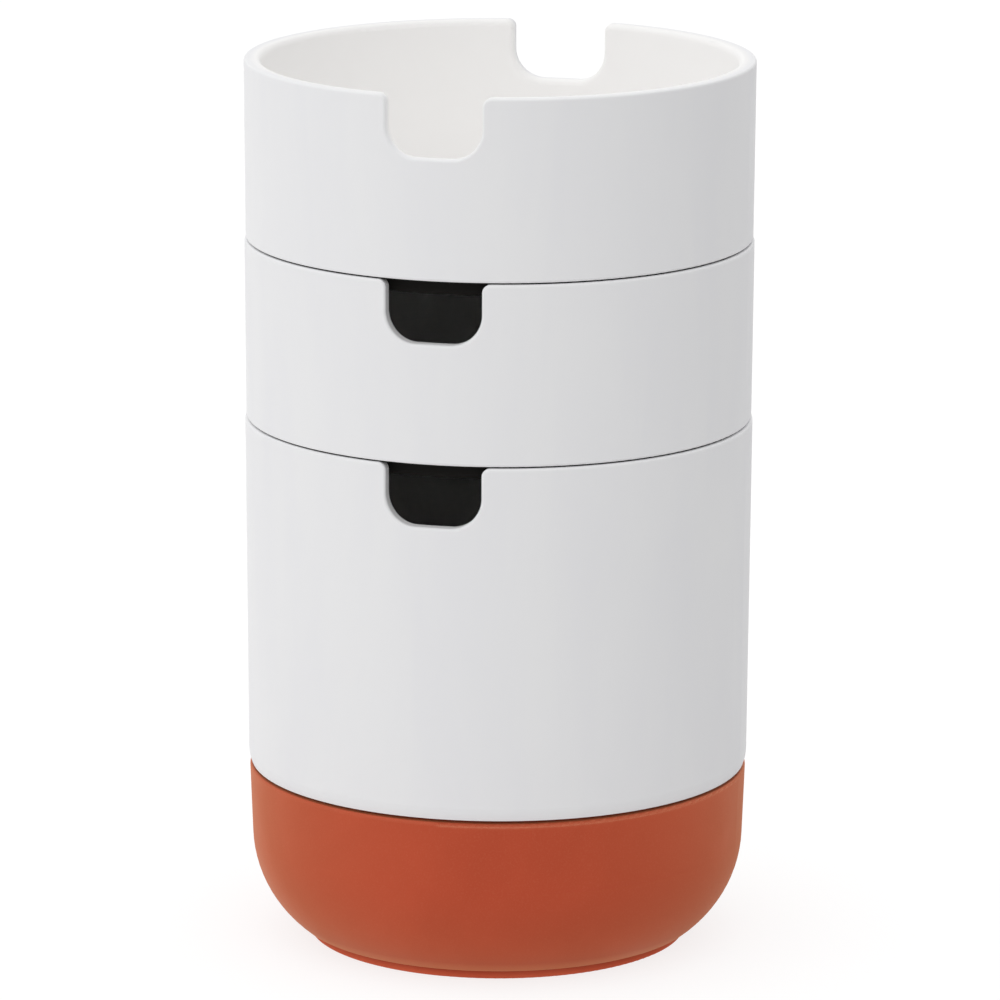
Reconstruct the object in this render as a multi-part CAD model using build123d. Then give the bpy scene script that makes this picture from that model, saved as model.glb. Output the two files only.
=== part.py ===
from build123d import *
from math import asin, cos, radians, sin, sqrt, tan
import os

# Stacking desk organizer: two low trays on a tall pen cup, in a rounded base with a foot ring.
# Millimetres and degrees. The origin is on the desk, on the axis of the stack, with +Z up.
# The finger notches face -Y and +Y.

# The stack
rim_radius = 50.0
tray_pitch = 35.6
cup_height = 70.2
base_height = 34.6

# The moulded wall that the trays and the cup share
wall = 3.4
wall_draft = 0.4
bore_draft = 0.5
mouth_land = 6.0
lip_round = 0.5
lip_inner_round = 1.2

# The finger notches
notch_width = 18.9
notch_depth = 11.9
notch_corner = 6.0
notch_shoulder = 1.6

# The trays
tray_floor = 2.4
tray_floor_round = 3.0
heel_round = 0.5

# The spigot under a tray and the rubber boot on it
mouth_fit = 0.25
boot_fit = 0.2
boot_wall = 1.85
boot_disc = 0.8
boot_floor_gap = 0.2
boot_tip_round = 0.9
flange_thickness = 0.3
flange_inset = 0.75
spigot_wall = 1.8
spigot_depth = 2.2
spigot_bead_radius = 0.4
spigot_bead_proud = 0.25

# The pen cup's foot, and the plug below it that fills the base
cup_foot_height = 2.4
cup_foot_radius = 6.0
plug_wall = 2.6
plug_gap = 0.15
plug_floor = 2.8
plug_floor_round = 4.0
step_rise = 2.2
step_round = 2.0
plug_bead_radius = 0.9
plug_bead_proud = 0.4
plug_bead_drop = 8.0

# The base shell
base_inset = 0.65
base_lean = 2.1
bowl_top = 20.2
bowl_radius = 23.7
shell_wall = 2.6
shell_floor = 3.2
shell_rim_round = 0.6
shadow_gap = 0.6
shadow_gap_depth = 1.7
shell_edge_round = 0.8

# The foot ring
foot_height = 2.1
foot_inset = 1.8
foot_width = 5.0
foot_seat_depth = 1.2
foot_fit = 0.1
foot_round = 0.5

# Levels, radii and angles that follow from the sizes above
cup_rim = base_height + cup_height
tray_height = tray_pitch - flange_thickness
middle_tray_bottom = cup_rim + flange_thickness
top_tray_bottom = middle_tray_bottom + tray_pitch
mouth_radius = rim_radius - wall
skirt_radius = mouth_radius - mouth_fit
boot_bore = skirt_radius - boot_wall
spigot_radius = boot_bore - boot_fit
spigot_bead_level = spigot_bead_radius - spigot_depth
base_radius = rim_radius - base_inset
seat_level = base_height + shadow_gap
lean = radians(base_lean)
plug_inset = shell_wall + plug_gap
plug_bottom = foot_height + shell_floor + plug_gap
plug_bead_level = base_height - plug_bead_drop

# The bowl's arc meets the leaning side of the base at bowl_top
bowl_centre_radius = base_radius - (base_height - bowl_top) * tan(lean) - bowl_radius * cos(lean)
bowl_centre_height = bowl_top + bowl_radius * sin(lean)

# Shares of an edge's length at which its place is read
edge_shares = (0.0, 0.25, 0.5, 0.75, 1.0)
tolerance = 0.001


def wall_radius(depth):
    """Outer radius of a tray or the cup at a depth below its rim."""
    return rim_radius - depth * tan(radians(wall_draft))


def bore_radius(depth):
    """Inner radius of a tray or the cup at a depth below its rim: straight at the mouth, then drafted."""
    return mouth_radius - max(depth - mouth_land, 0.0) * tan(radians(bore_draft))


def turned(outline):
    """Solid of revolution about Z of a closed outline whose points are (radius, height)."""
    return revolve(Plane.XZ * make_face(outline.edges()), Axis.Z)


def turned_corners(corners):
    """Solid of revolution about Z. Each corner of its outline is (radius, height, rounding)."""
    points = [(radius, height) for radius, height, rounding in corners]
    roundings = [rounding for radius, height, rounding in corners]
    return turned(FilletPolyline(*points, radius=roundings, close=True))


def bead(radius, height, thickness):
    """Round ring about Z: a snap bead, or the groove that takes one."""
    return revolve(Plane.XZ * Pos(radius, height) * Circle(thickness), Axis.Z)


def radius_of(point):
    """Distance of a point from the axis of the stack."""
    return sqrt(point.X**2 + point.Y**2)


def round_circles(solid, radius, height, rounding):
    """Round the circles about Z that have this radius and height."""

    def is_there(edge):
        spots = [edge @ share for share in edge_shares]
        return all(
            abs(radius_of(spot) - radius) < tolerance and abs(spot.Z - height) < tolerance for spot in spots
        )

    return fillet(solid.edges().filter_by(is_there), rounding)


def cut_notches(container, rim):
    """Cut two opposite finger notches into a rim and round the whole lip, tightly outside and softly inside."""
    half = notch_width / 2
    side = half + notch_shoulder
    shoulder_level = rim - notch_shoulder
    bottom = rim - notch_depth
    above = rim + notch_shoulder
    wall_middle = rim_radius - wall / 2
    outline = (
        Line((-side, above), (-side, rim))
        + CenterArc((-side, shoulder_level), notch_shoulder, 90, -90)
        + FilletPolyline(
            (-half, shoulder_level), (-half, bottom), (half, bottom), (half, shoulder_level), radius=notch_corner
        )
        + CenterArc((side, shoulder_level), notch_shoulder, 180, -90)
        + Line((side, rim), (side, above))
        + Line((side, above), (-side, above))
    )
    tool = extrude(Plane.XZ * make_face(outline.edges()), amount=2 * rim_radius, both=True)
    notched = container - tool

    def is_lip(edge):
        spots = [edge @ share for share in edge_shares]
        reaches = [radius_of(spot) for spot in spots]
        along_wall = max(reaches) - min(reaches) < wall / 2
        on_rim = all(abs(spot.Z - rim) < tolerance for spot in spots)
        on_notch = all(abs(spot.X) < side + tolerance and spot.Z > bottom - tolerance for spot in spots)
        return along_wall and (on_rim or on_notch)

    def is_outer_lip(edge):
        return is_lip(edge) and radius_of(edge @ 0.5) > wall_middle

    def is_inner_lip(edge):
        return is_lip(edge) and radius_of(edge @ 0.5) < wall_middle

    rounded = fillet(notched.edges().filter_by(is_outer_lip), lip_round)
    return fillet(rounded.edges().filter_by(is_inner_lip), lip_inner_round)


def make_tray(bottom):
    """Low tray: drafted wall, floor with a round inside corner, and a spigot with a snap bead underneath."""
    spigot_bore = spigot_radius - spigot_wall
    bore_depth = tray_height - tray_floor
    tray = turned_corners(
        [
            (0, 0, 0),
            (spigot_bore, 0, 0),
            (spigot_bore, -spigot_depth, 0),
            (spigot_radius, -spigot_depth, 0),
            (spigot_radius, 0, 0),
            (wall_radius(tray_height), 0, heel_round),
            (wall_radius(0), tray_height, 0),
            (bore_radius(0), tray_height, 0),
            (bore_radius(0), tray_height - mouth_land, 0),
            (bore_radius(bore_depth), tray_floor, tray_floor_round),
            (0, tray_floor, 0),
        ]
    )
    bead_centre = spigot_radius + spigot_bead_proud - spigot_bead_radius
    tray += bead(bead_centre, spigot_bead_level, spigot_bead_radius)
    return Pos(0, 0, bottom) * cut_notches(tray, tray_height)


def make_boot(bottom):
    """Rubber boot of a tray: skirt for the mouth below, thin flange in the seam, and a disc that closes it."""
    flange_radius = wall_radius(tray_height) - flange_inset
    disc_top = -spigot_depth - boot_floor_gap
    tip = disc_top - boot_disc
    boot = turned_corners(
        [
            (0, tip, 0),
            (skirt_radius, tip, boot_tip_round),
            (skirt_radius, -flange_thickness, 0),
            (flange_radius, -flange_thickness, 0),
            (flange_radius, 0, 0),
            (boot_bore, 0, 0),
            (boot_bore, disc_top, 0),
            (0, disc_top, 0),
        ]
    )
    bead_centre = spigot_radius + spigot_bead_proud - spigot_bead_radius
    boot -= bead(bead_centre, spigot_bead_level, spigot_bead_radius + boot_fit)
    return Pos(0, 0, bottom) * boot


def bowl_point(inset, angle):
    """Point (radius, height) on the bowl's arc, moved in by inset, at an angle below the arc's centre."""
    reach = bowl_radius - inset
    return (bowl_centre_radius + reach * cos(angle), bowl_centre_height - reach * sin(angle))


def side_radius(inset, height):
    """Radius of the base's leaning side, moved in by inset, at a height."""
    start_radius, start_height = bowl_point(inset, lean)
    return start_radius + (height - start_height) * tan(lean)


def bowl_edge_radius(inset, height):
    """Radius of the bowl's arc, moved in by inset, at a height."""
    return bowl_centre_radius + sqrt((bowl_radius - inset) ** 2 - (bowl_centre_height - height) ** 2)


def make_bowl(inset, low, high):
    """Solid bowl with the base's outline moved in by inset, cut level at two heights."""
    low_angle = asin((bowl_centre_height - low) / (bowl_radius - inset))
    start = bowl_point(inset, lean)
    middle = bowl_point(inset, (lean + low_angle) / 2)
    end = bowl_point(inset, low_angle)
    top = (side_radius(inset, high), high)
    return turned(
        Line((0, low), (0, high))
        + Line((0, high), top)
        + Line(top, start)
        + ThreePointArc(start, middle, end)
        + Line(end, (0, low))
    )


def plug_bead_centre():
    """Radius at which the plug's snap bead is centred."""
    return side_radius(plug_inset, plug_bead_level) + plug_bead_proud - plug_bead_radius


def make_pen_cup():
    """Tall cup: drafted wall on a softened foot, a plug that fills the base, and one deep bore."""
    foot_top = seat_level + cup_foot_height
    foot_top_radius = wall_radius(cup_rim - foot_top)
    foot_angle = asin(cup_foot_height / cup_foot_radius)
    foot_centre_radius = foot_top_radius - cup_foot_radius
    foot_end_radius = foot_centre_radius + cup_foot_radius * cos(foot_angle)
    foot_middle = (
        foot_centre_radius + cup_foot_radius * cos(foot_angle / 2),
        foot_top - cup_foot_radius * sin(foot_angle / 2),
    )
    body = turned(
        Line((0, seat_level), (0, cup_rim))
        + Line((0, cup_rim), (rim_radius, cup_rim))
        + Line((rim_radius, cup_rim), (foot_top_radius, foot_top))
        + ThreePointArc((foot_top_radius, foot_top), foot_middle, (foot_end_radius, seat_level))
        + Line((foot_end_radius, seat_level), (0, seat_level))
    )
    plug = make_bowl(plug_inset, plug_bottom, seat_level)
    plug += bead(plug_bead_centre(), plug_bead_level, plug_bead_radius)

    cavity_inset = plug_inset + plug_wall
    cavity_bottom = plug_bottom + plug_floor
    step_low = base_height + plug_floor
    step_high = step_low + step_rise
    cavity = make_bowl(cavity_inset, cavity_bottom, step_low)
    cavity = round_circles(
        cavity, bowl_edge_radius(cavity_inset, cavity_bottom), cavity_bottom, plug_floor_round
    )
    bore = turned_corners(
        [
            (0, step_low, 0),
            (side_radius(cavity_inset, step_low), step_low, 0),
            (bore_radius(cup_rim - step_high), step_high, step_round),
            (bore_radius(0), cup_rim - mouth_land, 0),
            (bore_radius(0), cup_rim, 0),
            (0, cup_rim, 0),
        ]
    )
    hollow = round_circles(cavity + bore, side_radius(cavity_inset, step_low), step_low, step_round)
    return cut_notches(body + plug - hollow, cup_rim)


def foot_radius():
    """Outer radius of the foot ring, set in from the lower edge of the bowl."""
    return bowl_edge_radius(0, foot_height) - foot_inset


def make_base_shell():
    """Soft-touch shell round the cup's plug: a rebated rim that the cup sits on, a groove inside for the bead,
    and one below for the foot."""
    shell = make_bowl(0, foot_height, base_height)
    shell = round_circles(shell, bowl_edge_radius(0, foot_height), foot_height, shell_edge_round)
    shell = round_circles(shell, base_radius, base_height, shell_rim_round)
    upstand_radius = base_radius - shadow_gap_depth
    upstand_low = base_height - shell_wall
    shell += turned_corners(
        [
            (0, upstand_low, 0),
            (upstand_radius, upstand_low, 0),
            (upstand_radius, seat_level, 0),
            (0, seat_level, 0),
        ]
    )
    shell -= make_bowl(shell_wall, foot_height + shell_floor, seat_level)
    shell -= bead(plug_bead_centre(), plug_bead_level, plug_bead_radius + plug_gap)
    seat_outer = foot_radius() + foot_fit
    seat_inner = foot_radius() - foot_width - foot_fit
    seat_top = foot_height + foot_seat_depth
    seat = turned_corners(
        [
            (seat_inner, foot_height, 0),
            (seat_outer, foot_height, 0),
            (seat_outer, seat_top, 0),
            (seat_inner, seat_top, 0),
        ]
    )
    return shell - seat


def make_foot_ring():
    """Non-slip ring, seated in the shell's underside."""
    outer = foot_radius()
    inner = outer - foot_width
    top = foot_height + foot_seat_depth
    return turned_corners([(inner, 0, foot_round), (outer, 0, foot_round), (outer, top, 0), (inner, top, 0)])


nodes = {
    "foot_ring": make_foot_ring(),
    "base_shell": make_base_shell(),
    "pen_cup": make_pen_cup(),
    "middle_tray_boot": make_boot(middle_tray_bottom),
    "middle_tray": make_tray(middle_tray_bottom),
    "top_tray_boot": make_boot(top_tray_bottom),
    "top_tray": make_tray(top_tray_bottom),
}

os.makedirs("parts", exist_ok=True)
for name, solid in nodes.items():
    solid.label = name
    export_step(solid, f"parts/{name}.step")
    print(name, round(solid.volume, 1))
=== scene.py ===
import math

import bpy
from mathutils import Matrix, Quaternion, Vector


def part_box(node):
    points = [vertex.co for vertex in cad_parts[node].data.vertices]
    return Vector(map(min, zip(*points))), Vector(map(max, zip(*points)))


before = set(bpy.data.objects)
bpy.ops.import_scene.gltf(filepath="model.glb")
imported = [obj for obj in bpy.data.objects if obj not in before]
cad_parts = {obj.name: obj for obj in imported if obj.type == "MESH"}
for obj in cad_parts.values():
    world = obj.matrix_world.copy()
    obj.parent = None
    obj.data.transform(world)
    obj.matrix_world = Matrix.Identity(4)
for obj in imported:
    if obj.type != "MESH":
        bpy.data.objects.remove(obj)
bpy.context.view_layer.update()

bl_info = {
    "name": "Stacking desk organizer",
    "version": (1, 0, 0),
    "blender": (4, 5, 0),
    "location": "View3D > Sidebar > Organizer",
    "description": "Finishes the moulded pieces of a stacking desk organizer and sets up its photo stage",
    "category": "Object",
}

MM = 0.001

CONTAINERS = ("pen_cup", "middle_tray", "top_tray")
BOOTS = ("middle_tray_boot", "top_tray_boot")
BASE_BOTTOM, BASE_TOP = [corner[2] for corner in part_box("base_shell")]

# Sockets of the Mix node, by number because several of them share a name
SHARE, FIRST_NUMBER, SECOND_NUMBER, FIRST_COLOUR, SECOND_COLOUR = 0, 2, 3, 6, 7
MIXED_NUMBER, MIXED_COLOUR = 0, 2

GRAIN_NOISE = {"Detail": 2.0, "Roughness": 0.6}
RIPPLE_NOISE = {"Detail": 1.0}
CLOUD_NOISE = {"Detail": 3.0, "Roughness": 0.55, "Distortion": 0.6}
# Noise at which a cloud begins and at which it is full, and the same for a speck of the grain
CLOUD_RANGE = (0.35, 0.65)
SPECK_RANGE = (0.5, 0.75)
# Cosine between a face and its rounded surroundings at which an edge begins and at which it is full
EDGE_RANGE = (0.985, 0.86)
# How far the roughness drifts up and down, along the flow of the melt and over the clouds of a skin
FLOW_DRIFT = 0.04
CLOUD_DRIFT = 0.05
BUMP_STRENGTH = 0.3
# Share of the outer grain that the polished bores keep
BORE_GRAIN = 0.3

# Brightness of the floor where no shadow falls on it, a little over white
FLOOR_LEVEL = 1.05
SENSOR_WIDTH_MM = 36.0
CAMERA_CLIP = (0.05, 50.0)


def linear(hex_colour):
    """Linear RGBA of an sRGB hex colour such as #c0d0e0."""
    channels = [int(hex_colour[i:i + 2], 16) / 255 for i in (1, 3, 5)]
    return (*[c / 12.92 if c <= 0.04045 else ((c + 0.055) / 1.055) ** 2.4 for c in channels], 1.0)


def add_node(tree, kind, settings=None, links=None):
    """Add a node. Settings name its attributes or inputs, and links give the output that feeds an input."""
    node = tree.nodes.new(kind)
    for name, value in (settings or {}).items():
        if isinstance(name, str) and hasattr(node, name):
            setattr(node, name, value)
        else:
            node.inputs[name].default_value = value
    for name, source in (links or {}).items():
        tree.links.new(source, node.inputs[name])
    return node


def new_material(name):
    """An empty node material: the material and its node tree."""
    material = bpy.data.materials.new(name)
    material.use_nodes = True
    material.node_tree.nodes.clear()
    return material, material.node_tree


def dress(names, material):
    """Give nodes of the frame their finish in place of the plain one."""
    for name in names:
        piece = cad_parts[name]
        piece.data.materials.clear()
        piece.data.materials.append(material)


def colour_setting(name, description, hex_colour):
    """A colour that a user may change, with its default as an sRGB hex value."""
    return bpy.props.FloatVectorProperty(
        name=name,
        description=description,
        default=linear(hex_colour),
        size=4,
        min=0,
        max=1,
        subtype="COLOR",
    )


def share_setting(name, description, value):
    """A share from 0 to 1 that a user may change."""
    return bpy.props.FloatProperty(
        name=name, description=description, default=value, min=0, max=1, subtype="FACTOR"
    )


def length_setting(name, description, millimetres):
    """A length that a user may change, with its default in millimetres."""
    return bpy.props.FloatProperty(
        name=name, description=description, default=millimetres * MM, min=0, precision=5, unit="LENGTH"
    )


def angle_setting(name, description, degrees):
    """An angle that a user may change, with its default in degrees."""
    return bpy.props.FloatProperty(
        name=name, description=description, default=math.radians(degrees), subtype="ANGLE"
    )


def number_setting(name, description, value):
    """A plain number that a user may change."""
    return bpy.props.FloatProperty(name=name, description=description, default=value, min=0)


def rubbed_and_highlit_edges(tree, reach):
    """Output that is 1 on edges and 0 on flat and gently curved faces. It marks where hands and neighbours
    rub, and where a painted highlight lies on the lips and on the base shell's edges.
    """
    rounded = add_node(tree, "ShaderNodeBevel", {"Radius": reach})
    face = add_node(tree, "ShaderNodeNewGeometry")
    agreement = add_node(
        tree,
        "ShaderNodeVectorMath",
        {"operation": "DOT_PRODUCT"},
        {0: rounded.outputs["Normal"], 1: face.outputs["Normal"]},
    )
    rubbed = add_node(
        tree,
        "ShaderNodeMapRange",
        {"From Min": EDGE_RANGE[0], "From Max": EDGE_RANGE[1]},
        {"Value": agreement.outputs["Value"]},
    )
    return rubbed.outputs["Result"]


def clouds(tree, place, size):
    """Output from 0 to 1 that changes slowly over the surface, in clouds of this size."""
    noise = add_node(tree, "ShaderNodeTexNoise", {"Scale": 1 / size, **CLOUD_NOISE}, {"Vector": place})
    spread = add_node(
        tree,
        "ShaderNodeMapRange",
        {"From Min": CLOUD_RANGE[0], "From Max": CLOUD_RANGE[1]},
        {"Value": noise.outputs["Fac"]},
    )
    return spread.outputs["Result"]


def inside_share(tree, place, radius, blend):
    """Output that is 1 nearer to the stack's axis than this radius and 0 beyond it."""
    level = add_node(
        tree, "ShaderNodeVectorMath", {"operation": "MULTIPLY", 1: (1.0, 1.0, 0.0)}, {0: place}
    )
    reach = add_node(tree, "ShaderNodeVectorMath", {"operation": "LENGTH"}, {0: level.outputs["Vector"]})
    inside = add_node(
        tree,
        "ShaderNodeMapRange",
        {"From Min": radius + blend, "From Max": radius - blend},
        {"Value": reach.outputs["Value"]},
    )
    return inside.outputs["Result"]


def height_share(tree, place, zero, full):
    """Output that is 0 at one height and 1 at another, and changes evenly between them."""
    height = add_node(tree, "ShaderNodeSeparateXYZ", links={0: place})
    share = add_node(
        tree, "ShaderNodeMapRange", {"From Min": zero, "From Max": full}, {"Value": height.outputs["Z"]}
    )
    return share.outputs["Result"]


def white_abs(finish):
    """Material of the cup and the trays."""
    # Injection-moulded ABS. The outer half of the mould is spark-eroded, and its fine even grain spreads
    # every reflection into a soft sheen. The core is polished, so the bores are smoother; their whiter
    # colour is painted light that lightens the inside. Lips are burnished where fingers rub them, which
    # makes them smoother, and their whiter colour is a painted highlight. The real grain is under 0.1 mm
    # wide, and is drawn coarser so that it shows.
    material, tree = new_material("white_abs_spark_eroded")
    place = add_node(tree, "ShaderNodeTexCoord").outputs["Object"]
    grain = add_node(
        tree, "ShaderNodeTexNoise", {"Scale": 1 / finish.grain, **GRAIN_NOISE}, {"Vector": place}
    )
    upright = add_node(
        tree, "ShaderNodeMapping", {"Scale": (1.0, 1.0, finish.flow_stretch)}, {"Vector": place}
    )
    flow = clouds(tree, upright.outputs["Vector"], finish.flow)
    inside = inside_share(tree, place, finish.bore_radius, finish.bore_blend)
    edge = rubbed_and_highlit_edges(tree, finish.edge_reach)

    outer_colour = add_node(
        tree,
        "ShaderNodeMix",
        {"data_type": "RGBA", FIRST_COLOUR: finish.colour, SECOND_COLOUR: finish.flow_colour},
        {SHARE: flow},
    )
    # Painted light: the bore is mixed towards a whiter colour, which lightens the inside.
    wall_colour = add_node(
        tree,
        "ShaderNodeMix",
        {"data_type": "RGBA", SECOND_COLOUR: finish.bore_painted_light_colour},
        {SHARE: inside, FIRST_COLOUR: outer_colour.outputs[MIXED_COLOUR]},
    )
    # Painted highlight: the lips are mixed towards a whiter colour.
    colour = add_node(
        tree,
        "ShaderNodeMix",
        {"data_type": "RGBA", SECOND_COLOUR: finish.lip_highlight_colour},
        {SHARE: edge, FIRST_COLOUR: wall_colour.outputs[MIXED_COLOUR]},
    )
    outer_roughness = add_node(
        tree,
        "ShaderNodeMapRange",
        {"To Min": finish.roughness - FLOW_DRIFT, "To Max": finish.roughness + FLOW_DRIFT},
        {"Value": flow},
    )
    wall_roughness = add_node(
        tree,
        "ShaderNodeMix",
        {"data_type": "FLOAT", SECOND_NUMBER: finish.bore_roughness},
        {SHARE: inside, FIRST_NUMBER: outer_roughness.outputs["Result"]},
    )
    roughness = add_node(
        tree,
        "ShaderNodeMath",
        {"operation": "MULTIPLY_ADD", 1: -finish.lip_polish},
        {0: edge, 2: wall_roughness.outputs[MIXED_NUMBER]},
    )
    grain_share = add_node(
        tree, "ShaderNodeMapRange", {"To Min": 1.0, "To Max": BORE_GRAIN}, {"Value": inside}
    )
    grain_height = add_node(
        tree,
        "ShaderNodeMath",
        {"operation": "MULTIPLY"},
        {0: grain.outputs["Fac"], 1: grain_share.outputs["Result"]},
    )
    bump = add_node(
        tree,
        "ShaderNodeBump",
        {"Strength": BUMP_STRENGTH, "Distance": finish.grain_depth},
        {"Height": grain_height.outputs[0]},
    )
    shader = add_node(
        tree,
        "ShaderNodeBsdfPrincipled",
        {"IOR": finish.ior, "Specular IOR Level": finish.gloss},
        {
            "Base Color": colour.outputs[MIXED_COLOUR],
            "Roughness": roughness.outputs[0],
            "Normal": bump.outputs["Normal"],
        },
    )
    add_node(tree, "ShaderNodeOutputMaterial", links={"Surface": shader.outputs["BSDF"]})
    return material


def matt_skin(name, finish, painted_bands=()):
    """Material of a lacquered or rubber piece: grain on a gentle ripple, cloudy colour and paler edges,
    which are dust on the foot ring, rubbing on the boots and a painted highlight on the base shell.

    Each band paints light or shade by height: light along the base's lower edge, shade in the gap under
    the cup and below the shell. It says at which height its colour begins, at which height it is
    strongest, the colour, and the colour's share there. Past the second height it stays as strong.
    """
    material, tree = new_material(name)
    place = add_node(tree, "ShaderNodeTexCoord").outputs["Object"]
    grain = add_node(
        tree, "ShaderNodeTexNoise", {"Scale": 1 / finish.grain, **GRAIN_NOISE}, {"Vector": place}
    )
    ripple = add_node(
        tree, "ShaderNodeTexNoise", {"Scale": 1 / finish.ripple, **RIPPLE_NOISE}, {"Vector": place}
    )
    cloud = clouds(tree, place, finish.cloud)
    edge = rubbed_and_highlit_edges(tree, finish.edge_reach)

    cloudy_colour = add_node(
        tree,
        "ShaderNodeMix",
        {"data_type": "RGBA", FIRST_COLOUR: finish.colour, SECOND_COLOUR: finish.cloud_colour},
        {SHARE: cloud},
    )
    speck = add_node(
        tree,
        "ShaderNodeMapRange",
        {"From Min": SPECK_RANGE[0], "From Max": SPECK_RANGE[1], "To Max": finish.speckle},
        {"Value": grain.outputs["Fac"]},
    )
    specked_colour = add_node(
        tree,
        "ShaderNodeMix",
        {"data_type": "RGBA", SECOND_COLOUR: finish.highlit_and_worn_edge_colour},
        {SHARE: speck.outputs["Result"], FIRST_COLOUR: cloudy_colour.outputs[MIXED_COLOUR]},
    )
    # Edges are mixed towards the edge colour: dust on the foot ring, rubbing on the boots, and a painted
    # highlight on the base shell.
    highlit_and_worn_edge_share = add_node(
        tree, "ShaderNodeMath", {"operation": "MULTIPLY", 1: finish.edge_highlight_and_wear}, {0: edge}
    )
    colour = add_node(
        tree,
        "ShaderNodeMix",
        {"data_type": "RGBA", SECOND_COLOUR: finish.highlit_and_worn_edge_colour},
        {SHARE: highlit_and_worn_edge_share.outputs[0], FIRST_COLOUR: specked_colour.outputs[MIXED_COLOUR]},
    )
    # Painted light and painted shade, laid on in bands along the height.
    for zero, full, painted_band_colour, most in painted_bands:
        drift = height_share(tree, place, zero, full)
        painted_band_share = add_node(tree, "ShaderNodeMath", {"operation": "MULTIPLY", 1: most}, {0: drift})
        colour = add_node(
            tree,
            "ShaderNodeMix",
            {"data_type": "RGBA", SECOND_COLOUR: painted_band_colour},
            {SHARE: painted_band_share.outputs[0], FIRST_COLOUR: colour.outputs[MIXED_COLOUR]},
        )
    roughness = add_node(
        tree,
        "ShaderNodeMapRange",
        {"To Min": finish.roughness - CLOUD_DRIFT, "To Max": finish.roughness + CLOUD_DRIFT},
        {"Value": cloud},
    )
    ripple_bump = add_node(
        tree,
        "ShaderNodeBump",
        {"Strength": BUMP_STRENGTH, "Distance": finish.ripple_depth},
        {"Height": ripple.outputs["Fac"]},
    )
    bump = add_node(
        tree,
        "ShaderNodeBump",
        {"Strength": BUMP_STRENGTH, "Distance": finish.grain_depth},
        {"Height": grain.outputs["Fac"], "Normal": ripple_bump.outputs["Normal"]},
    )
    shader = add_node(
        tree,
        "ShaderNodeBsdfPrincipled",
        {
            "IOR": finish.ior,
            "Specular IOR Level": finish.gloss,
            "Sheen Weight": finish.sheen,
            "Sheen Roughness": finish.sheen_spread,
            "Sheen Tint": finish.sheen_colour,
        },
        {
            "Base Color": colour.outputs[MIXED_COLOUR],
            "Roughness": roughness.outputs["Result"],
            "Normal": bump.outputs["Normal"],
        },
    )
    add_node(tree, "ShaderNodeOutputMaterial", links={"Surface": shader.outputs["BSDF"]})
    return material


class ORGANIZER_PG_containers(bpy.types.PropertyGroup):
    """Finish of the pen cup and the trays"""

    colour: colour_setting("Colour", "White of the outer wall", "#f3f3f4")
    flow_colour: colour_setting("Flow colour", "White of the streaks along the flow of the melt", "#f1f1f3")
    # Painted light: the bore is whiter than the outer wall, to lighten the inside of the cup and trays.
    bore_painted_light_colour: colour_setting("Bore colour", "White of the polished inside", "#fcfbfa")
    # Painted highlight: the lips are whiter than the wall.
    lip_highlight_colour: colour_setting("Lip colour", "White of the burnished lips", "#f8f8f8")
    roughness: share_setting("Roughness", "Roughness of the outer wall", 0.46)
    bore_roughness: share_setting("Bore roughness", "Roughness of the polished inside", 0.38)
    lip_polish: share_setting("Lip polish", "How much smoother the lips are", 0.1)
    gloss: share_setting("Gloss", "Strength of the reflection", 0.2)
    ior: number_setting("IOR", "Index of refraction of ABS", 1.54)
    grain: length_setting("Grain size", "Width of one speck of the spark-eroded grain", 0.4)
    grain_depth: length_setting("Grain depth", "Depth of the spark-eroded grain", 0.008)
    flow: length_setting("Flow size", "Width of the streaks along the flow of the melt", 14.0)
    flow_stretch: share_setting("Flow stretch", "Width of a streak for its length", 0.2)
    # Inside this radius the wall also takes the painted light of the bore colour.
    bore_radius: length_setting("Bore radius", "Radius inside which the wall is polished", 48.3)
    bore_blend: length_setting("Bore blend", "How softly the two halves of the mould meet", 0.7)
    # This reach also sets how far the painted highlight spreads from a lip.
    edge_reach: length_setting("Edge reach", "How far from a lip the burnish shows", 0.8)


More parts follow.
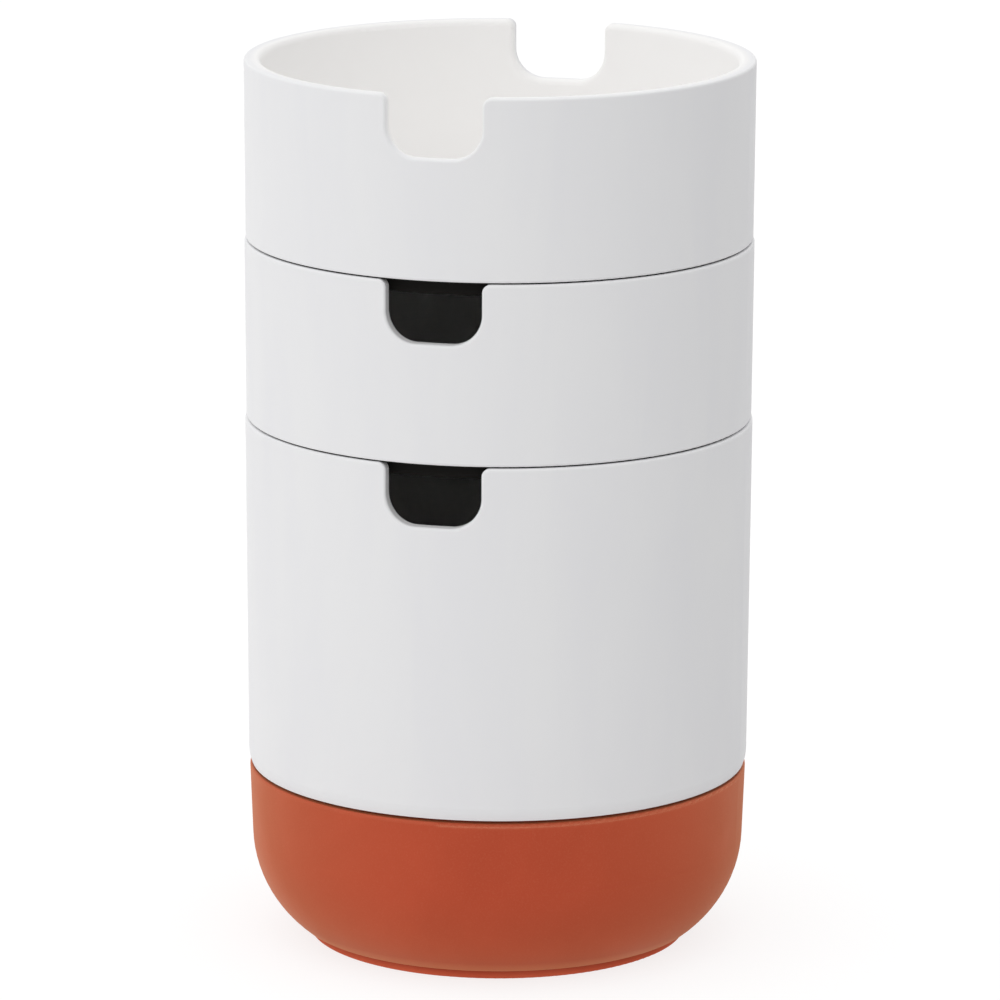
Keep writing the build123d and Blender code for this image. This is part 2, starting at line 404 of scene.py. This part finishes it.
class ORGANIZER_PG_base(bpy.types.PropertyGroup):
    """Finish of the base shell"""

    colour: colour_setting("Colour", "Terracotta of the lacquer", "#c2462c")
    cloud_colour: colour_setting("Cloud colour", "Terracotta that the lacquer drifts to", "#bb4229")
    # Painted highlight: the edges are mixed towards a paler terracotta; the specks of the grain share this
    # colour.
    highlit_and_worn_edge_colour: colour_setting("Edge colour", "Paler terracotta where the lacquer runs thin", "#e89a76")
    edge_highlight_and_wear: share_setting("Edge wear", "How far the edges are thinned", 0.8)
    speckle: share_setting("Speckle", "How much paler the specks of the grain are", 0.06)
    roughness: share_setting("Roughness", "Roughness of the lacquer", 0.58)
    gloss: share_setting("Gloss", "Strength of the reflection", 0.15)
    ior: number_setting("IOR", "Index of refraction of the lacquer", 1.5)
    sheen: share_setting("Sheen", "Edge-on glow of the velvety lacquer", 0.31)
    sheen_spread: share_setting("Sheen spread", "How far round the glow reaches", 0.7)
    sheen_colour: colour_setting("Sheen colour", "Colour of the edge-on glow", "#ffd290")
    grain: length_setting("Grain size", "Width of one speck of the matting agent", 0.35)
    grain_depth: length_setting("Grain depth", "Depth of the specks", 0.008)
    ripple: length_setting("Ripple size", "Width of the sprayed ripple", 2.5)
    ripple_depth: length_setting("Ripple depth", "Depth of the sprayed ripple", 0.012)
    cloud: length_setting("Cloud size", "Width of the clouds of slightly different colour", 30.0)
    # Reach of the painted highlight on the edges.
    edge_reach: length_setting("Edge reach", "How far from an edge the lacquer is thin", 0.9)
    # Painted light: the lower edge is mixed towards a paler terracotta, standing in for light from the
    # floor.
    painted_band_colour: colour_setting("Band colour", "Terracotta of the thin coat at the lower edge", "#e58a5c")
    painted_band_share: share_setting("Band share", "How far the coat is thinned along the lower edge", 0.5)
    painted_band_reach: length_setting("Band reach", "Height of the thin coat along the lower edge", 2.2)
    # Painted shade: the gap under the cup is mixed towards a dark red.
    gap_painted_shade_colour: colour_setting("Gap colour", "Bare dark moulding in the gap under the cup", "#8c1a08")
    gap_painted_shade_share: share_setting("Gap share", "How little of the lacquer reaches into the gap", 0.85)
    gap_height: length_setting("Gap height", "Height of the gap under the cup", 0.6)
    gap_painted_shade_fade: length_setting("Gap fade", "How far the lacquer fades below the gap", 0.12)


class ORGANIZER_PG_foot(bpy.types.PropertyGroup):
    """Finish of the foot ring"""

    colour: colour_setting("Colour", "Terracotta of the rubber", "#e66c49")
    cloud_colour: colour_setting("Cloud colour", "Terracotta that the rubber drifts to", "#de6443")
    highlit_and_worn_edge_colour: colour_setting("Edge colour", "Dusty terracotta of the edges", "#e88a62")
    edge_highlight_and_wear: share_setting("Edge wear", "How dusty the edges are", 0.4)
    speckle: share_setting("Speckle", "How much paler the specks of the grain are", 0.1)
    roughness: share_setting("Roughness", "Roughness of the rubber", 0.75)
    gloss: share_setting("Gloss", "Strength of the reflection", 0.3)
    ior: number_setting("IOR", "Index of refraction of silicone rubber", 1.43)
    sheen: share_setting("Sheen", "Edge-on glow", 0.1)
    sheen_spread: share_setting("Sheen spread", "How far round the glow reaches", 0.5)
    sheen_colour: colour_setting("Sheen colour", "Colour of the edge-on glow", "#ffdf9c")
    grain: length_setting("Grain size", "Width of one speck of the grain", 0.3)
    grain_depth: length_setting("Grain depth", "Depth of the grain", 0.01)
    ripple: length_setting("Ripple size", "Width of the mould's tool marks", 1.5)
    ripple_depth: length_setting("Ripple depth", "Depth of the mould's tool marks", 0.01)
    cloud: length_setting("Cloud size", "Width of the clouds of slightly different colour", 20.0)
    edge_reach: length_setting("Edge reach", "How far from an edge the dust shows", 0.6)
    # Painted shade: the ring's top, just below the shell, is mixed towards a dark red-brown.
    painted_band_colour: colour_setting("Band colour", "Dark adhesive between the ring and the shell", "#6a2412")
    painted_band_share: share_setting("Band share", "How much of the adhesive shows", 0.5)
    painted_band_reach: length_setting("Band reach", "Height of the adhesive below the shell", 1.7)


class ORGANIZER_PG_boots(bpy.types.PropertyGroup):
    """Finish of the two tray boots"""

    # Black of the rubber, which also serves as painted shade where the boots show in the notches.
    colour: colour_setting("Colour", "Black of the rubber", "#110f0d")
    cloud_colour: colour_setting("Cloud colour", "Black that the rubber drifts to", "#161412")
    highlit_and_worn_edge_colour: colour_setting("Edge colour", "Greyer black of a rubbed edge", "#2a2826")
    edge_highlight_and_wear: share_setting("Edge wear", "How far the edges are rubbed", 0.4)
    speckle: share_setting("Speckle", "How much greyer the specks of the grain are", 0.12)
    roughness: share_setting("Roughness", "Roughness of the rubber", 0.85)
    gloss: share_setting("Gloss", "Strength of the reflection", 0.16)
    ior: number_setting("IOR", "Index of refraction of rubber", 1.52)
    sheen: share_setting("Sheen", "Edge-on glow of the bloom on the rubber", 0.02)
    sheen_spread: share_setting("Sheen spread", "How far round the glow reaches", 0.5)
    sheen_colour: colour_setting("Sheen colour", "Colour of the edge-on glow", "#e8e4e0")
    grain: length_setting("Grain size", "Width of one speck of the grain", 0.3)
    grain_depth: length_setting("Grain depth", "Depth of the grain", 0.012)
    ripple: length_setting("Ripple size", "Width of the mould's tool marks", 2.0)
    ripple_depth: length_setting("Ripple depth", "Depth of the mould's tool marks", 0.015)
    cloud: length_setting("Cloud size", "Width of the clouds of slightly different colour", 20.0)
    edge_reach: length_setting("Edge reach", "How far from an edge the rubbing shows", 0.6)


class ORGANIZER_PG_stage(bpy.types.PropertyGroup):
    """Camera, floor and light of the photo stage"""

    camera_distance: length_setting("Camera distance", "From the stack's axis, along the floor", 1300.0)
    camera_height: length_setting("Camera height", "Above the floor", 385.2)
    camera_azimuth: angle_setting("Camera azimuth", "Round the stack from its front notches", 14.8)
    camera_roll: angle_setting("Camera roll", "Lean of the camera about its line of sight", 0.21)
    target_height: length_setting("Target height", "Height of the point that the camera looks at", 87.4)
    target_side: length_setting("Target side", "How far right of the axis the camera looks", 0.28)
    lens: number_setting("Lens", "Focal length in millimetres", 242.7)
    horizon_level: number_setting("Horizon level", "Brightness of the room at eye height", 0.51)
    ceiling_level: number_setting("Ceiling level", "Brightness of the room overhead", 1.18)
    window_level: number_setting("Window level", "Light added at the window and taken opposite it", 0.23)
    window_azimuth: angle_setting("Window azimuth", "Round the stack from the camera to its left", 75.0)
    floor_size: length_setting("Floor size", "Side of the square floor", 12000.0)
    floor_drop: length_setting("Floor drop", "How far the floor lies below the foot ring", 0.05)
    # Painted light: the floor's colour for the light it sends up is lighter near the window.
    floor_near: colour_setting("Floor near the window", "Colour of the light it sends up", "#d2d2d2")
    floor_far: colour_setting("Floor away from the window", "Colour of the light it sends up", "#a0a0a0")
    # Painted light: the floor glows by itself, though it is no lamp.
    floor_glow: number_setting("Floor glow", "Light that the backlit floor itself sends up", 0.25)
    floor_reach: length_setting("Floor reach", "How far from the axis the floor changes", 150.0)
    shadow_share: share_setting("Shadow share", "How much of the object's shadow shows on the floor", 0.25)


class ORGANIZER_OT_containers(bpy.types.Operator):
    """Finish the pen cup and the trays in white ABS"""

    bl_idname = "organizer.containers"
    bl_label = "Cup and trays"

    def execute(self, context):
        dress(CONTAINERS, white_abs(context.scene.organizer_containers))
        return {"FINISHED"}


class ORGANIZER_OT_base(bpy.types.Operator):
    """Finish the base shell in terracotta soft-touch lacquer"""

    bl_idname = "organizer.base"
    bl_label = "Base shell"

    def execute(self, context):
        # Soft-touch lacquer sprayed on a moulded shell: no clear reflection, a velvety glow where it is
        # seen edge on, a faint sprayed ripple, and paler edges, which are a painted highlight. The lower
        # edge is painted lighter, as painted light from the floor, and painted shade darkens the gap under
        # the cup into a dark line.
        finish = context.scene.organizer_base
        gap_floor = BASE_TOP - finish.gap_height
        # Painted light: the lower edge is mixed towards a paler terracotta.
        lower_edge_painted_light = (BASE_BOTTOM + finish.painted_band_reach, BASE_BOTTOM, finish.painted_band_colour, finish.painted_band_share)
        # Painted shade: the gap under the cup is mixed towards a dark red.
        gap = (gap_floor - finish.gap_painted_shade_fade, gap_floor, finish.gap_painted_shade_colour, finish.gap_painted_shade_share)
        dress(("base_shell",), matt_skin("terracotta_soft_touch_lacquer", finish, (lower_edge_painted_light, gap)))
        return {"FINISHED"}


class ORGANIZER_OT_foot(bpy.types.Operator):
    """Finish the foot ring in terracotta silicone rubber"""

    bl_idname = "organizer.foot"
    bl_label = "Foot ring"

    def execute(self, context):
        # Moulded silicone rubber, dyed through: matt, brighter than the lacquer, and dusty on its edges.
        # Painted shade darkens it just below the shell.
        finish = context.scene.organizer_foot
        painted_shade_band = (BASE_BOTTOM - finish.painted_band_reach, BASE_BOTTOM, finish.painted_band_colour, finish.painted_band_share)
        dress(("foot_ring",), matt_skin("terracotta_silicone_rubber", finish, (painted_shade_band,)))
        return {"FINISHED"}


class ORGANIZER_OT_boots(bpy.types.Operator):
    """Finish the two tray boots in black rubber"""

    bl_idname = "organizer.boots"
    bl_label = "Tray boots"

    def execute(self, context):
        # Compression-moulded black rubber: hardly any reflection, and greyer where it is rubbed. Its black
        # also serves as painted shade where the boots show in the notches below.
        dress(BOOTS, matt_skin("black_rubber_and_painted_shade", context.scene.organizer_boots))
        return {"FINISHED"}


def seen_directly(tree):
    """Output that is 1 for rays from the camera, a reflection or glass, and 0 for rays that light things."""
    path = add_node(tree, "ShaderNodeLightPath")
    seen = path.outputs["Is Camera Ray"]
    for ray in ("Is Glossy Ray", "Is Transmission Ray"):
        seen = add_node(
            tree, "ShaderNodeMath", {"operation": "MAXIMUM"}, {0: seen, 1: path.outputs[ray]}
        ).outputs[0]
    return seen


def towards_window(tree, place, stage):
    """Output that says how far a place or a direction leans towards the window."""
    bearing = stage.camera_azimuth - stage.window_azimuth
    window = (math.sin(bearing), -math.cos(bearing), 0.0)
    lean = add_node(tree, "ShaderNodeVectorMath", {"operation": "DOT_PRODUCT", 1: window}, {0: place})
    return lean.outputs["Value"]


def lay_floor(scene, stage):
    """A pale floor that looks white where no shadow falls on it. Towards the object it sends painted light:
    its colour is lighter towards the window, and it glows by itself.
    """
    half = stage.floor_size / 2
    corners = [(-half, -half), (half, -half), (half, half), (-half, half)]
    mesh = bpy.data.meshes.new("floor")
    mesh.from_pydata([(x, y, -stage.floor_drop) for x, y in corners], [], [(0, 1, 2, 3)])
    material, tree = new_material("pale_floor")
    place = add_node(tree, "ShaderNodeTexCoord").outputs["Object"]
    # Painted light: the floor's colour is lighter towards the window.
    nearness = add_node(
        tree,
        "ShaderNodeMapRange",
        {"From Min": -stage.floor_reach, "From Max": stage.floor_reach},
        {"Value": towards_window(tree, place, stage)},
    )
    colour = add_node(
        tree,
        "ShaderNodeMix",
        {"data_type": "RGBA", FIRST_COLOUR: stage.floor_far, SECOND_COLOUR: stage.floor_near},
        {SHARE: nearness.outputs["Result"]},
    )
    paint = add_node(tree, "ShaderNodeBsdfDiffuse", links={"Color": colour.outputs[MIXED_COLOUR]})
    # Painted light: the floor glows by itself and lights the object from below.
    painted_floor_glow = add_node(tree, "ShaderNodeEmission", {"Strength": stage.floor_glow})
    lit = add_node(
        tree, "ShaderNodeAddShader", links={0: paint.outputs["BSDF"], 1: painted_floor_glow.outputs["Emission"]}
    )
    shaded = add_node(tree, "ShaderNodeBsdfDiffuse", {"Color": (*[stage.shadow_share] * 3, 1.0)})
    glow = add_node(tree, "ShaderNodeEmission", {"Strength": FLOOR_LEVEL - stage.shadow_share})
    bright = add_node(
        tree, "ShaderNodeAddShader", links={0: shaded.outputs["BSDF"], 1: glow.outputs["Emission"]}
    )
    surface = add_node(
        tree,
        "ShaderNodeMixShader",
        links={0: seen_directly(tree), 1: lit.outputs["Shader"], 2: bright.outputs["Shader"]},
    )
    add_node(tree, "ShaderNodeOutputMaterial", links={"Surface": surface.outputs["Shader"]})
    mesh.materials.append(material)
    floor = bpy.data.objects.new("floor", mesh)
    scene.collection.objects.link(floor)


def light_room(scene, stage):
    """A white room lit from its ceiling and from a wide window on the camera's left."""
    world = bpy.data.worlds.new("white_room")
    world.use_nodes = True
    tree = world.node_tree
    tree.nodes.clear()
    aim = add_node(tree, "ShaderNodeTexCoord").outputs["Generated"]
    height = add_node(tree, "ShaderNodeSeparateXYZ", links={0: aim})
    upward = add_node(
        tree,
        "ShaderNodeMapRange",
        {"To Min": stage.horizon_level, "To Max": stage.ceiling_level},
        {"Value": height.outputs["Z"]},
    )
    level = add_node(
        tree,
        "ShaderNodeMath",
        {"operation": "MULTIPLY_ADD", 1: stage.window_level},
        {0: towards_window(tree, aim, stage), 2: upward.outputs["Result"]},
    )
    strength = add_node(
        tree,
        "ShaderNodeMix",
        {"data_type": "FLOAT", SECOND_NUMBER: 1.0},
        {SHARE: seen_directly(tree), FIRST_NUMBER: level.outputs[0]},
    )
    sky = add_node(
        tree,
        "ShaderNodeBackground",
        {"Color": linear("#ffffff")},
        {"Strength": strength.outputs[MIXED_NUMBER]},
    )
    add_node(tree, "ShaderNodeOutputWorld", links={"Surface": sky.outputs["Background"]})
    scene.world = world


def place_camera(scene, stage):
    """A long lens from the height and side of the photograph."""
    camera = bpy.data.cameras.new("camera")
    camera.lens = stage.lens
    camera.sensor_width = SENSOR_WIDTH_MM
    camera.clip_start, camera.clip_end = CAMERA_CLIP
    eye = bpy.data.objects.new("camera", camera)
    right = Vector((math.cos(stage.camera_azimuth), math.sin(stage.camera_azimuth), 0.0))
    back = Vector((math.sin(stage.camera_azimuth), -math.cos(stage.camera_azimuth), 0.0))
    eye.location = stage.camera_distance * back + Vector((0.0, 0.0, stage.camera_height))
    sight = stage.target_side * right + Vector((0.0, 0.0, stage.target_height)) - eye.location
    roll = Quaternion((0.0, 0.0, 1.0), stage.camera_roll)
    eye.rotation_euler = (sight.to_track_quat("-Z", "Y") @ roll).to_euler()
    scene.collection.objects.link(eye)
    scene.camera = eye


class ORGANIZER_OT_stage(bpy.types.Operator):
    """Lay the floor, light the room and place the camera"""

    bl_idname = "organizer.stage"
    bl_label = "Photo stage"

    def execute(self, context):
        scene = context.scene
        stage = scene.organizer_stage
        lay_floor(scene, stage)
        light_room(scene, stage)
        place_camera(scene, stage)
        scene.view_settings.view_transform = "Standard"
        return {"FINISHED"}


GROUPS = {
    "organizer_containers": (ORGANIZER_PG_containers, "organizer.containers"),
    "organizer_base": (ORGANIZER_PG_base, "organizer.base"),
    "organizer_foot": (ORGANIZER_PG_foot, "organizer.foot"),
    "organizer_boots": (ORGANIZER_PG_boots, "organizer.boots"),
    "organizer_stage": (ORGANIZER_PG_stage, "organizer.stage"),
}


class ORGANIZER_PT_sidebar(bpy.types.Panel):
    """Lists the organizer's pieces with their settings"""

    bl_idname = "ORGANIZER_PT_sidebar"
    bl_label = "Desk organizer"
    bl_space_type = "VIEW_3D"
    bl_region_type = "UI"
    bl_category = "Organizer"

    def draw(self, context):
        for name, (kind, operator) in GROUPS.items():
            box = self.layout.box()
            settings = getattr(context.scene, name)
            for setting in kind.__annotations__:
                box.prop(settings, setting)
            box.operator(operator)


CLASSES = (
    *[kind for kind, _ in GROUPS.values()],
    ORGANIZER_OT_containers,
    ORGANIZER_OT_base,
    ORGANIZER_OT_foot,
    ORGANIZER_OT_boots,
    ORGANIZER_OT_stage,
    ORGANIZER_PT_sidebar,
)


def register():
    for kind in CLASSES:
        bpy.utils.register_class(kind)
    for name, (kind, _) in GROUPS.items():
        setattr(bpy.types.Scene, name, bpy.props.PointerProperty(type=kind))


def unregister():
    for name in GROUPS:
        delattr(bpy.types.Scene, name)
    for kind in reversed(CLASSES):
        bpy.utils.unregister_class(kind)


def main():
    register()
    bpy.ops.organizer.containers()
    bpy.ops.organizer.base()
    bpy.ops.organizer.foot()
    bpy.ops.organizer.boots()
    bpy.ops.organizer.stage()


if __name__ == "__main__":
    main()
